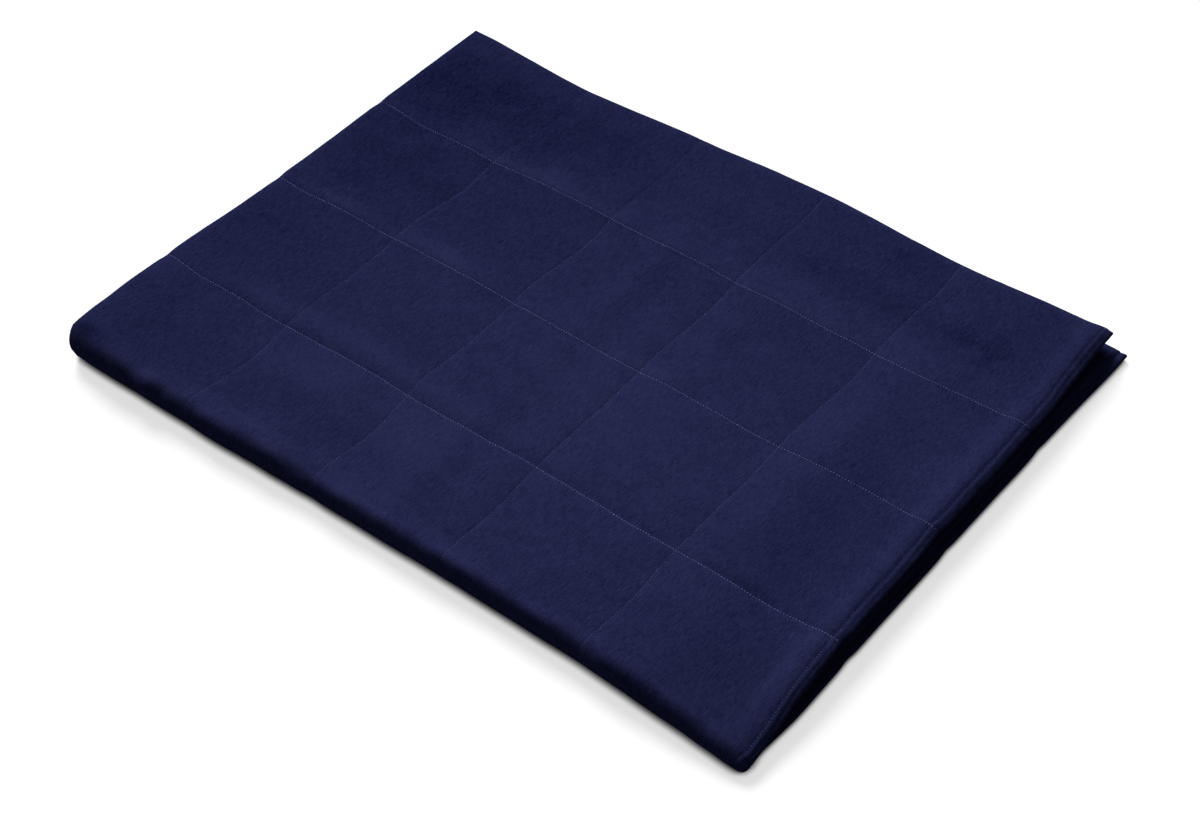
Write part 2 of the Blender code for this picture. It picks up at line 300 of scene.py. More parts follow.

# Painted shade beside the crease from storage and a painted highlight along the fold's edge.
CREASE_COLUMN = 2.5
CREASE_SHARPNESS = 0.04    # cells over which the painted shade turns from darker to lighter
CREASE_REACH = 0.35        # cells over which either shade fades
CREASE_ROWS = (0, 0.9, 1.3, 1.8, 2.4, 3.0, 3.8, 3.9)
CREASE_PERCENT = (2, 2, 4, 2, 1, 5, 7, 0)     # how strong it is at those rows
# Painted highlight along the fold's edge, weaker towards the hem.
EDGE_LIGHT_ROW = 3.83
EDGE_LIGHT_REACH = 0.05
EDGE_LIGHT_SHADE = 0.16
EDGE_LIGHT_LESS = 0.12         # how much weaker it is towards the hem
EDGE_LIGHT_COLUMNS = (2.6, 3.6)      # columns between which it weakens

# Mesh steps.
COLUMN_STEPS = 31          # faces across a cell
UPPER_STEPS = 42           # faces along a cell of the upper layer
LOWER_STEPS = 18           # faces along a cell of the lower layer
FOLD_STEPS = 26            # faces round the fold
HEM_STEPS = 6              # faces across the hem
LINE_CROWDING = 0.6        # how much closer the faces stand beside the stitching
RIM_CUTS = 3               # points round the edge between the two panels
FOLD_MARGINS = (0.01, 0.02)      # rows kept free of other steps before and after the fold

# Stitching.
STITCH_PITCH = 0.0037
STITCH_LENGTH = 0.0020
STITCH_WIDTH = 0.00064
STITCH_HEIGHT = 0.00045
STITCH_SEATED = 0.15       # how far a stitch's middle stands out, as a share of its height
STITCH_SUNK = 0.0004       # how deep stitches lie in the nap at the far corner and in the fold
STITCH_SKEW = 0.06         # radians, the spread of their directions
STITCH_SIZES = (0.9, 1.06)
SUNK_CORNER_ROWS = (1.0, 0.8)    # not sunk at the first, fully sunk at the second
SUNK_CORNER_COLUMNS = (3.4, 2.4)
SUNK_FOLD_ROWS = (3.82, 3.90)
SUNK_FOLD_END = (4.20, 4.10)     # the same on the fold's other side
STITCHES_ON_HEM = (0.3, 0.75)    # the last stitches of a long line, as shares of the hem
LONG_LINE_SEED = 21
SHORT_LINE_SEED = 22
HEM_SEED = 23
LINE_STEP = 0.004          # cells between the places that give a stitch its direction

# Cloth and thread, as linear colours.
# Dark and pale ends of the cloth's colour: mottle and painted shade lie between them; the pale
# end's greyness is a painted sheen.
DEEP_NAVY = (0.0018, 0.0032, 0.0210, 1)
GREYER_NAVY_PAINTED_SHEEN = (0.0243, 0.0277, 0.0840, 1)
SHADE_SPAN = 1.2         # a difference of shade this large spans the two
SHEEN_TINT = (0.30, 0.33, 0.70, 1)
# One thread in lit and shaded copies: a painted sheen on the long lines, painted shade on the
# short lines and the hem.
THREAD_PAINTED_SHEEN = ((0.15, 0.16, 0.36, 1), (0.27, 0.28, 0.57, 1))
THREAD_PAINTED_DARKER = ((0.060, 0.066, 0.175, 1), (0.110, 0.120, 0.280, 1))
HEM_THREAD_PAINTED_DARKER = ((0.060, 0.067, 0.180, 1), (0.100, 0.110, 0.280, 1))
CLOTH_ROUGHNESS = 0.86
ROUGHNESS_SPREAD = 0.04
SHEEN = 0.01
SHEEN_ROUGHNESS = 0.5
THREAD_ROUGHNESS = 0.6
THREAD_GLOSS = 0.1

# Noise in the finishes: its stretch along each axis, bumps per metre, detail and roughness.
MOTTLE = ((1.0, 1.0, 1.0), 24.0, 3.0, 0.50)
TUFTS = ((1.0, 0.6, 1.0), 115.0, 3.0, 0.55)
STREAKS = ((1.0, 0.16, 1.0), 330.0, 2.0, 0.60)
GRAIN = ((1.0, 1.0, 1.0), 560.0, 2.0, 0.70)
WARP = ((1.0, 0.2, 1.0), 640.0, 1.0, 0.50)
WEFT = ((0.3, 1.0, 1.0), 640.0, 1.0, 0.50)
THREAD_MOTTLE = ((1.0, 1.0, 1.0), 350.0, 2.0, 0.50)
THREAD_TWIST = ((1.0, 1.0, 1.0), 2400.0, 1.0, 0.50)
MOTTLE_SHADE = 0.13        # how much each of them lightens and darkens the cloth
TUFT_SHADE = 0.18
STREAK_SHADE = 0.24
GRAIN_SHADE = 0.42
WEAVE_SHADE = 0.38
WEFT_SHARE = 0.6           # how strong the weft is beside the warp
GRAIN_HEIGHT = 0.00010     # and how high each of them stands
WEAVE_HEIGHT = 0.00008
TUFT_HEIGHT = 0.00012
TWIST_HEIGHT = 0.00004

# Floor, light and camera.
FLOOR_REACH = 60.0         # from its middle to each side
FLOOR_GREY = (0.38, 0.38, 0.38, 1)
FLOOR_GLOW = (0.69, 0.69, 0.69, 1)
NO_GLOW = (0, 0, 0, 1)
CONTACT_REACH = 0.012      # how far from the blanket the floor's glow is dimmed
CONTACT_RANGE = (0.22, 0.85)     # openness at which the glow begins and is full
SURROUND = 0.07            # strength of the light from all round
SUN_PLACE = (-1.3, 1.0, 1.15)
SUN_STRENGTH = 5.3
SUN_ANGLE = 30.0           # degrees
PANEL_PLACE = (0.10, -0.04, 1.0)
PANEL_AIM = (0.10, -0.04, 0)
PANEL_POWER = 1.0
PANEL_SIZE = 0.9
CAMERA_LENS = 65.07
CAMERA_FILM = 36.0
CAMERA_PLACE = (1.23128, -1.35837, 1.80373)
CAMERA_TURN = (43.918, 2.754, 39.047)     # degrees about X, Y and Z


def between(values, place):
    """The value at a place between two lines of a list, joined by smooth steps."""
    values = np.asarray(values, float)
    place = np.clip(place, 0, len(values) - 1)
    line = np.minimum(place.astype(int), len(values) - 2)
    share = place - line
    ease = share * share * (3 - 2 * share)
    return values[line] * (1 - ease) + values[line + 1] * ease


def smooth(low, high, place):
    """A smooth step: 0 up to low and 1 from high on. Where high is the smaller, it falls."""
    share = np.clip((place - low) / (high - low), 0, 1)
    return share * share * (3 - 2 * share)


def uneven(across, along, spacing, seed):
    """Soft random unevenness from -1 to 1 over the cloth, its bumps about that spacing apart."""
    size = 400
    margin = 40.5
    lattice = np.random.default_rng(seed).uniform(-1, 1, (size, size))
    x = across / spacing + margin
    y = along / spacing + margin
    column = np.floor(x).astype(int)
    row = np.floor(y).astype(int)
    u = x - column
    v = y - row
    u = u * u * (3 - 2 * u)
    v = v * v * (3 - 2 * v)
    column %= size - 1
    row %= size - 1
    low = lattice[column, row] * (1 - u) + lattice[column + 1, row] * u
    high = lattice[column, row + 1] * (1 - u) + lattice[column + 1, row + 1] * u
    return low * (1 - v) + high * v


def bumps(kind, across, along):
    """Random unevenness of one of the kinds above."""
    spacing, height, seed = kind
    return uneven(across, along, spacing, seed) * height


def fold_angle(row):
    """The angle of the fold, in degrees, at which a cloth row lies."""
    upper_share = (row - FOLD_FIRST) / (FOLD_LINE - FOLD_FIRST)
    lower_share = (row - FOLD_LINE) / (FOLD_LAST - FOLD_LINE)
    upper = 90 - (90 - FOLD_STITCH_ANGLE) * upper_share
    lower = FOLD_STITCH_ANGLE - (FOLD_STITCH_ANGLE + 90) * lower_share
    return np.clip(np.where(row <= FOLD_LINE, upper, lower), -90, 90)


def fold_row(angle):
    """The cloth row that lies at an angle of the fold."""
    if angle >= FOLD_STITCH_ANGLE:
        share = (90 - angle) / (90 - FOLD_STITCH_ANGLE)
        return FOLD_FIRST + (FOLD_LINE - FOLD_FIRST) * share
    share = (FOLD_STITCH_ANGLE - angle) / (FOLD_STITCH_ANGLE + 90)
    return FOLD_LINE + (FOLD_LAST - FOLD_LINE) * share


def crowns():
    """Fullness of each cell, by its place across and along the cloth."""
    draw = np.random.default_rng(CROWN_SEED)
    return 1 + draw.uniform(-CROWN_SPREAD, CROWN_SPREAD, (CELLS_ACROSS, CELLS_DOWN))


CROWNS = crowns()


def across_cloth(column):
    """Metres across the flat cloth: the hem, the sixth column, is narrower than a cell."""
    hem = np.maximum(column - CELLS_ACROSS, 0)
    return np.minimum(column, CELLS_ACROSS) * CELL_LENGTH + hem * HEM_WIDTH


def cells_across(column):
    """The same in cells."""
    return across_cloth(column) / CELL_LENGTH


def rise(place):
    """How full a cell is at a place along one direction: 0 at its lines, 1 at its middle."""
    share = place - np.floor(place)
    return np.maximum(np.sin(math.pi * share), 0.0) ** PUFF_POWER


def fullness(column, row):
    """Puff of the filling, from 0 on the stitching to 1 in the middle of a cell."""
    tension = np.clip(1 - np.abs(row - FOLD_LINE) / FOLD_REACH, 0, 1)
    least = (1 - FOLD_GROOVE) * tension ** FOLD_TENSION
    near_fold = smooth(*HEM_FILL_ROWS, row) * smooth(HEM_FILL_END, FOLD_LAST, row)
    nearest = np.rint(column)
    left = np.where(nearest == 0, 0, SHORT_LINE_FILL)
    left = np.where(nearest == CELLS_ACROSS, HEM_FILL * near_fold, left)
    across = left + (1 - left) * rise(column)
    left = np.array(LONG_LINE_FILL)[np.rint(row).astype(int)]
    along = left + (1 - left) * rise(row)
    return np.maximum(across, least) * np.maximum(along, least)


def unfilled_thickness(column, row):
    """Thickness of the stitched cloth alone."""
    seam = np.minimum(np.minimum(column, row), CELLS_DOWN - row) / EDGE_REACH
    topstitch = (CELLS_ACROSS - column) / EDGE_REACH
    at_topstitch = TOPSTITCHED + (STITCHED - TOPSTITCHED) * np.clip(topstitch, 0, 1)
    at_seam = SEAM_THICKNESS + (at_topstitch - SEAM_THICKNESS) * np.clip(seam, 0, 1)
    return np.where(seam < 1, at_seam, at_topstitch)


def half_thickness(column, row, outer):
    """Distance from the layer's middle to its outer face or, where outer is 0, its inner one."""
    inside = np.minimum(column, CELLS_ACROSS)
    puff = fullness(inside, row)
    flat = np.minimum(puff / PRESSED_LEVEL, 1)
    cell_across = np.minimum(inside.astype(int), CELLS_ACROSS - 1)
    cell_down = np.minimum(row.astype(int), CELLS_DOWN - 1)
    crown = CROWNS[cell_across, cell_down]
    crown = 1 + (crown - 1) * (1 - smooth(CROWN_FADE, FOLD_FIRST, row))
    pressed = np.where(outer > 0, smooth(*PRESSED_FROM, row), 1.0)
    puff = puff * crown * (1 - pressed) + flat * pressed
    base = unfilled_thickness(inside, row) / 2
    half = base + (LAYER / 2 - base) * puff
    return half + (HEM_EDGE / 2 - half) * smooth(*HEM_TAPER, column - CELLS_ACROSS)


def taut_fold(column, row):
    """How far out the thin hem is pulled in the fold, level with the filled cells beside it."""
    slack = LAYER / 2 - half_thickness(column, row, np.ones(len(column)))
    bent = smooth(*HEM_TAUT_ROWS, row) * smooth(*HEM_SLACK_ROWS, row)
    return np.maximum(slack, 0) * bent * smooth(*HEM_TAUT_ACROSS, column)


def lift(column, row):
    """Extra height of the upper layer: a raised fold corner and gentle waves."""
    across = (column - CORNER_PLACE[0]) / CORNER_REACH[0]
    down = (row - CORNER_PLACE[1]) / CORNER_REACH[1]
    corner = np.exp(-across ** 2 - down ** 2)
    first, second = (wave[0] * column + wave[1] * row for wave in WAVES)
    return CORNER_LIFT * corner + SURFACE_WAVE * (np.sin(first) * np.cos(second) + 1)


def pinch(column, row):
    """How far the upper layer is pressed down where the fold meets the hem."""
    place = cells_across(column)
    cell = CORNER_PINCH * smooth(*PINCH_ACROSS, place) * smooth(*PINCH_DOWN, row)
    tip = TIP_PINCH * smooth(*TIP_PINCH_ACROSS, place) * smooth(*TIP_PINCH_DOWN, row)
    return cell + tip


def hem_sag(column, row):
    """How far the hem hangs down, on the upper layer and on the lower one."""
    share = np.clip(column - CELLS_ACROSS, 0, 1)
    upper = HEM_DROOP * share ** HEM_DROOP_POWER - HEM_RISE * smooth(*HEM_RISE_ACROSS, column)
    lower = HEM_SINK * smooth(*HEM_SINK_ACROSS, column) * smooth(FOLD_LINE, FOLD_LAST, row)
    return upper * smooth(*HEM_LEVEL_ROWS, row) + lower


def nose_draw(row):
    """How far the cloth's edge is drawn in where it goes round the nose of the fold."""
    bent = (row > FOLD_FIRST) & (row < FOLD_LAST)
    return np.where(bent, FOLD_END_DRAW * np.cos(np.radians(fold_angle(row))), 0.0)


def from_line(place, length):
    """Distance to the nearest quilting line, in metres, for lines that far apart."""
    return np.abs(place - np.rint(place)) * length


def trough(distance, reach):
    """A soft dip: 1 on the line and 0 far from it."""
    return np.exp(-(distance / reach) ** 2)


def lines_across(row):
    """X of the seam, the short lines and the topstitch at each row."""
    toward_fold = np.minimum(row, CELLS_DOWN - row) / FOLD_LINE
    lines = [-SEAM_MARGIN - between(SEAM_OUT, row)]
    for line in range(1, CELLS_ACROSS):
        offset = LEAN_FAR[line] * (1 - toward_fold) + LEAN_FOLD[line] * toward_fold
        lines.append(line * CELL_LENGTH + offset)
    lines.append(CELLS_ACROSS * CELL_LENGTH + HEM_MARGIN + between(HEM_OUT, row))
    return np.array(lines)


def place_across(column, row):
    """X of a place on the cloth."""
    lines = lines_across(row)
    first = np.clip(column.astype(int), 0, CELLS_ACROSS - 1)
    share = np.minimum(column, CELLS_ACROSS) - first
    each = np.arange(len(column))
    x = lines[first, each] * (1 - share) + lines[first + 1, each] * share
    near_seam = np.clip(1 - column / FOLD_END_REACH, 0, 1)
    near_hem = np.clip(1 - (CELLS_ACROSS - column) / FOLD_END_REACH, 0, 1)
    x += nose_draw(row) * (near_seam - near_hem)
    x -= TIP_DRAW * near_hem ** 2 * trough(row - TIP_ROW, TIP_REACH)
    at_line = trough(from_line(row, CELL_DEPTH), LINE_DRAW_REACH) * LINE_DRAW
    nearest = np.rint(row)
    at_line = at_line * ((nearest > 0) & (nearest < CELLS_DOWN))
    from_hem = np.maximum(CELLS_ACROSS - column, 0)
    x += at_line * (trough(column, SEAM_DRAW_REACH) - trough(from_hem, HEM_DRAW_REACH))
    return x + HEM_WIDTH * np.maximum(column - CELLS_ACROSS, 0)


def upper_layer(column, row, bend_y):
    """Y and Z of the upper layer's middle, up to where the fold's bend starts."""
    z = UPPER_MIDDLE + lift(column, np.minimum(row, FOLD_FIRST)) - pinch(column, row)
    last_line = FOLD_LINE - 1
    to_bend = np.clip((row - last_line) / (FOLD_FIRST - last_line), 0, 1)
    y = -row * CELL_DEPTH + between(FAR_UPPER, column) * np.maximum(1 - row, 0)
    y += (bend_y + FOLD_FIRST * CELL_DEPTH) * to_bend
    y += between(UPPER_BOW, column) * np.sin(math.pi * np.minimum(row / BOW_ROWS, 1))
    return y, z


def middle(column, row):
    """Y and Z of the layer's middle, and the outward direction there."""
    tip_out = TIP_OUT * smooth(*TIP_OUT_ACROSS, cells_across(column))
    bend_y = FOLD_START - between(FOLD_OUT, column) - tip_out
    upper_y, upper_z = upper_layer(column, row, bend_y)
    lower_share = (row - FOLD_LAST) / (CELLS_DOWN - FOLD_LAST)
    lower_y = bend_y * (1 - lower_share) + between(FAR_LOWER, column) * lower_share
    angle = np.radians(fold_angle(row))
    height = (upper_z - LOWER_MIDDLE) / 2
    depth = height - NOSE_EVENNESS * (height - (UPPER_MIDDLE - LOWER_MIDDLE) / 2)
    nose_y = bend_y - depth * np.cos(angle)
    nose_z = LOWER_MIDDLE + height * (1 + np.sin(angle))
    upper = row < FOLD_FIRST
    lower = row > FOLD_LAST
    y = np.where(upper, upper_y, np.where(lower, lower_y, nose_y))
    z = np.where(upper, upper_z, np.where(lower, LOWER_MIDDLE, nose_z))
    z -= hem_sag(column, row)
    return y, z, -np.cos(angle), np.sin(angle)


def patches(table, column, row):
    """Sum of soft oval patches: (column, row, reach across, reach along, amount), in cells."""
    total = np.zeros(len(column))
    place = cells_across(column)
    for at_column, at_row, reach_across, reach_along, amount in table:
        across = (place - at_column) / reach_across
        along = (row - at_row) / reach_along
        total += amount * np.exp(-across ** 2 - along ** 2)
    return total


def relief(column, row):
    """Softness of the outer face: swells, dents, and pulls and puckers beside the stitching."""
    across = across_cloth(column)
    along = row * CELL_DEPTH
    long_line = from_line(row, CELL_DEPTH)
    short_line = from_line(cells_across(column), CELL_LENGTH)
    height = bumps(BROAD_SWELLS, across, along) + bumps(DENTS, across, along)
    height += bumps(LONG_LINE_PULLS, across, along) * trough(long_line, PULL_REACH)
    height += bumps(SHORT_LINE_PULLS, across, along) * trough(short_line, PULL_REACH)
    puckers = bumps(LONG_LINE_PUCKERS, across, along * PUCKER_STRETCH)
    height += puckers * trough(long_line, LONG_PUCKER_REACH)
    puckers = bumps(SHORT_LINE_PUCKERS, across * PUCKER_STRETCH, along)
    height += puckers * trough(short_line, SHORT_PUCKER_REACH)
    small, large = FOLD_CRUMPLES
    crumple = bumps(small, across, along * CRUMPLE_STRETCH) + bumps(large, across, along)
    height += crumple * trough(row - CRUMPLE_ROW, CRUMPLE_REACH)
    height += patches(SWELLS, column, row) * MILLIMETRE
    return height * (1 - smooth(*RELIEF_END, row))


def wander(column, row, seed):
    """How far the cloth has crept sideways, so that no stitched line is quite straight."""
    across = across_cloth(column)
    along = row * CELL_DEPTH
    creep = bumps((*SLOW_WANDER, seed), across, along)
    creep += bumps((*QUICK_WANDER, seed + 1), across, along)
    edge = np.minimum(np.minimum(column, row), CELLS_ACROSS + 1 - column)
    inner = smooth(0.0, WANDER_EDGE_REACH, edge)
    return creep * (WANDER_AT_EDGE + (1 - WANDER_AT_EDGE) * inner)


def settle(column, row, side):
    """Where points of the flat, empty cover end up on the filled and folded blanket.

    side is 1 on the outer face, -1 on the inner one and between them round the edge."""
    x = place_across(column, row) + wander(column, row, ACROSS_SEED)
    x = x + patches(CREEP_ACROSS, column, row) * MILLIMETRE
    y, z, out_y, out_z = middle(column, row)
    taut = taut_fold(column, row)
    y = y + out_y * taut
    z = z + np.minimum(out_z, 0) * taut
    creep = wander(column, row, ALONG_SEED) + patches(CREEP_ALONG, column, row) * MILLIMETRE
    y = y - creep * out_z
    z = z + creep * out_y
    outer = (side > 0).astype(float)
    half = half_thickness(column, row, outer) + relief(column, row) * outer
    turn = side * math.pi / 2
    offset = half * np.sin(turn)
    round_edge = np.cos(turn)
    notch = 1 - SEAM_NOTCH * np.isclose(side, 0, atol=0.1)
    seam = SEAM_THICKNESS / 2 * round_edge * notch
    x = x - np.where(column == 0, seam, 0)
    x = x + np.where(column == CELLS_ACROSS + 1, HEM_EDGE / 2 * round_edge, 0)
    y = y + np.where((row == 0) | (row == CELLS_DOWN), seam, 0)
    return np.stack([x, y + out_y * offset, np.maximum(z + out_z * offset, 0)], axis=1)


def crowded(first, count):
    """Places over one cell, closer together beside its two lines."""
    steps = np.arange(count) / count
    return first + steps - LINE_CROWDING * np.sin(2 * math.pi * steps) / (2 * math.pi)


def columns():
    """Places of the mesh's points across the cloth."""
    cells = [crowded(cell, COLUMN_STEPS) for cell in range(CELLS_ACROSS)]
    hem = CELLS_ACROSS + np.arange(HEM_STEPS + 1) / HEM_STEPS
    return np.concatenate([*cells, hem])


def rows():
    """Places of the mesh's points along the cloth."""
    upper = [crowded(cell, UPPER_STEPS) for cell in range(FOLD_LINE)]
    lower = [crowded(cell, LOWER_STEPS) for cell in range(FOLD_LINE, CELLS_DOWN)]
    flat = np.concatenate([*upper, *lower, [CELLS_DOWN]])
    before, after = FOLD_MARGINS
    flat = flat[(flat < FOLD_FIRST - before) | (flat > FOLD_LAST + after)]
    above = np.linspace(90, FOLD_STITCH_ANGLE, FOLD_STEPS * 2 // 3 + 1)
    below = np.linspace(FOLD_STITCH_ANGLE, -90, FOLD_STEPS // 3 + 1)[1:]
    nose = [fold_row(angle) for angle in [*above, *below]]
    return np.sort(np.concatenate([flat, nose]))


def coordinates(mesh):
    """The places of a mesh's points as an array."""
    places = np.zeros(len(mesh.vertices) * 3)
    mesh.vertices.foreach_get("co", places)
    return places.reshape(-1, 3)


def cover():
    """Two panels joined round their edge, with each point's column, row and side."""
    across = columns()
    down = rows()
    shape = bmesh.new()
    x_faces = len(across) - 1
    y_faces = len(down) - 1
    bmesh.ops.create_grid(shape, x_segments=x_faces, y_segments=y_faces, size=1)
    panel = shape.faces[:]
    back = bmesh.ops.extrude_face_region(shape, geom=panel)["geom"]
    back_points = [item for item in back if isinstance(item, bmesh.types.BMVert)]
    bmesh.ops.translate(shape, verts=back_points, vec=(0, 0, 1))
    rim = [edge for edge in shape.edges if edge.verts[0].co.z != edge.verts[1].co.z]
    bmesh.ops.subdivide_edges(shape, edges=rim, cuts=RIM_CUTS, use_grid_fill=True)
    mesh = bpy.data.meshes.new("blanket_cover")
    shape.to_mesh(mesh)
    shape.free()
    flat = coordinates(mesh)
    column = across[np.rint((flat[:, 0] + 1) / 2 * x_faces).astype(int)]
    row = down[np.rint((1 - flat[:, 1]) / 2 * y_faces).astype(int)]
    return mesh, column, row, 2 * flat[:, 2] - 1


def cloth_map(mesh, column, row):
    """Gives the mesh a UV map that holds each point's place on the flat cloth, in metres."""
    corners = np.zeros(len(mesh.loops), int)
    mesh.loops.foreach_get("vertex_index", corners)
    places = np.stack([across_cloth(column), row * CELL_DEPTH], axis=1)[corners]
    layer = mesh.uv_layers.new(name="cloth")
    layer.data.foreach_set("uv", places.astype(np.float32).ravel())


def crease_painted_shade(column, row):
    """Painted shade beside the crease from storage: darker on its +X side, lighter on its -X
    side, as light from -X falls on a ridge.
    """
    wandering = bumps(CREASE_WANDER, column * 0, row * CELL_DEPTH)
    past = column - CREASE_COLUMN - wandering
    side = np.tanh(past / CREASE_SHARPNESS) * trough(past, CREASE_REACH)
    return -PERCENT * np.interp(row, CREASE_ROWS, CREASE_PERCENT) * side


def fold_edge_painted_light(column, row):
    """Painted highlight along the edge of the fold, where it turns down."""
    across = across_cloth(column)
    along = row * CELL_DEPTH
    edge_light = 1 + sum(bumps(kind, across, along) for kind in EDGE_LIGHT_FRAY)
    edge_light *= EDGE_LIGHT_SHADE - EDGE_LIGHT_LESS * smooth(*EDGE_LIGHT_COLUMNS, column)
    return edge_light * trough(row - EDGE_LIGHT_ROW, EDGE_LIGHT_REACH)


def store_painted_shading(mesh, column, row):
    """Keeps at each point how much painted light or shade lightens or darkens the cloth's
    colour.
    """
    across = across_cloth(column)
    along = row * CELL_DEPTH
    fray = 1 + sum(bumps(kind, across, along) for kind in PATCH_FRAY)
    shade = patches(PAINTED_SHADING_PATCHES, column, row) * fray
    shade += crease_painted_shade(column, row) + fold_edge_painted_light(column, row)
    painted_shading = mesh.attributes.new("painted_shading", "FLOAT", "POINT")
    painted_shading.data.foreach_set("value", shade.astype(np.float32))


def outward(mesh):
    """Turns the mesh's faces outwards."""
    shape = bmesh.new()
    shape.from_mesh(mesh)
    bmesh.ops.recalc_face_normals(shape, faces=shape.faces)
    shape.to_mesh(mesh)
    shape.free()


def place_piece(name, mesh, finish):
    """Adds a finished mesh to the object, riding on its one body."""
    mesh.name = name
    mesh.materials.append(finish)
    mesh.shade_smooth()
    piece = bpy.data.objects.new(name, mesh)
    bpy.context.scene.collection.objects.link(piece)
    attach(piece, "root")
    return piece


def quilted_cover(finish):
    """The whole blanket: quilted, filled, hemmed and folded."""
    mesh, column, row, side = cover()
    places = settle(column, row, side) + FRAME_SHIFT
    mesh.vertices.foreach_set("co", places.astype(np.float32).ravel())
    cloth_map(mesh, column, row)
    # Paints light and shade into the cloth's colour, kept on the mesh's points.
    store_painted_shading(mesh, column, row)
    outward(mesh)
    return place_piece("quilted_cover", mesh, finish)


def one_stitch():
    """One stitch, lying along X."""
    shape = bmesh.new()
    bmesh.ops.create_uvsphere(shape, u_segments=6, v_segments=4, radius=0.5)
    bmesh.ops.rotate(shape, verts=shape.verts, matrix=Matrix.Rotation(math.pi / 2, 3, "Y"))
    bmesh.ops.scale(shape, verts=shape.verts, vec=(STITCH_LENGTH, STITCH_WIDTH, STITCH_HEIGHT))
    mesh = bpy.data.meshes.new("one_stitch")
    shape.to_mesh(mesh)
    shape.free()
    return mesh


def copies(mesh, name, count):
    """A mesh that holds that many copies of another one."""
    shape = bmesh.new()
    for _ in range(count):
        shape.from_mesh(mesh)
    joined = bpy.data.meshes.new(name)
    shape.to_mesh(joined)
    shape.free()
    return joined


def stitch_frames(column, row):
    """Places of the stitches, with the directions along, across and out of the cloth there."""
    out = np.ones(len(column))
    here = settle(column, row, out)
    ahead = settle(column + LINE_STEP, row, out)
    ahead = ahead - settle(np.maximum(column - LINE_STEP, 0), row, out)
    row_next = settle(column, np.minimum(row + LINE_STEP, CELLS_DOWN), out)
    row_last = settle(column, np.maximum(row - LINE_STEP, 0), out)
    down = row_next - row_last
    normal = np.cross(down, ahead)
    normal /= np.linalg.norm(normal, axis=1)[:, None]
    return here + FRAME_SHIFT, ahead, down, normal


def sunk(column, row):
    """How deep a stitch lies in the nap."""
    far_corner = smooth(*SUNK_CORNER_ROWS, row) * smooth(*SUNK_CORNER_COLUMNS, column)
    in_fold = smooth(*SUNK_FOLD_ROWS, row) * smooth(*SUNK_FOLD_END, row)
    return STITCH_SUNK * np.maximum(far_corner, in_fold)


def laid_stitches(points, column, row, follows_x, draw):
    """The points of a stitch, laid at each place of one run."""
    place, ahead, down, normal = stitch_frames(column, row)
    along = ahead if follows_x else down
    along = along / np.linalg.norm(along, axis=1)[:, None]
    across = np.cross(normal, along)
    along = along + across * draw.normal(0, STITCH_SKEW, len(column))[:, None]
    across = np.cross(normal, along)
    local = points[None] * draw.uniform(*STITCH_SIZES, (len(column), 1, 1))
    seated = (STITCH_HEIGHT * STITCH_SEATED - sunk(column, row))[:, None, None]
    laid = place[:, None] + local[..., :1] * along[:, None]
    laid = laid + local[..., 1:2] * across[:, None]
    laid = laid + (local[..., 2:] + seated) * normal[:, None]
    return laid.reshape(-1, 3)


def stitching(name, runs, finish, seed):
    """Joined stitches along runs of (columns, rows, True where the run follows X)."""
    stitch = one_stitch()
    points = coordinates(stitch)
    draw = np.random.default_rng(seed)
    places = np.concatenate([laid_stitches(points, *run, draw) for run in runs])
    mesh = copies(stitch, name, len(places) // len(points))
    bpy.data.meshes.remove(stitch)
    mesh.vertices.foreach_set("co", places.astype(np.float32).ravel())
    outward(mesh)
    return place_piece(name, mesh, finish)


def run_across(row):
    """Stitch places of the long line at a row, and on over the hem."""
    length = CELLS_ACROSS * CELL_LENGTH
    count = int(length / STITCH_PITCH)
    column = (np.arange(count) + 0.5) / count * CELLS_ACROSS
    column = np.append(column, CELLS_ACROSS + np.array(STITCHES_ON_HEM))
    return column, np.full(len(column), float(row)), True


def run_down(column):
    """Stitch places of a line that follows the cloth from seam to seam."""
    count = int(CELLS_DOWN * CELL_DEPTH / STITCH_PITCH)
    row = (np.arange(count) + 0.5) / count * CELLS_DOWN
    return np.full(count, float(column)), row, False


class Value:
    """A socket of a material. Arithmetic on it adds Math nodes."""

    def __init__(self, finish, socket):
        self.finish = finish
        self.socket = socket

    def __add__(self, other):
        return self.finish.math("ADD", self, other)

    def __radd__(self, other):
        return self.finish.math("ADD", other, self)

    def __sub__(self, other):
        return self.finish.math("SUBTRACT", self, other)

    def __rsub__(self, other):
        return self.finish.math("SUBTRACT", other, self)

    def __mul__(self, other):
        return self.finish.math("MULTIPLY", self, other)

    def __rmul__(self, other):
        return self.finish.math("MULTIPLY", other, self)

    def __truediv__(self, other):
        return self.finish.math("DIVIDE", self, other)

    def __rtruediv__(self, other):
        return self.finish.math("DIVIDE", other, self)


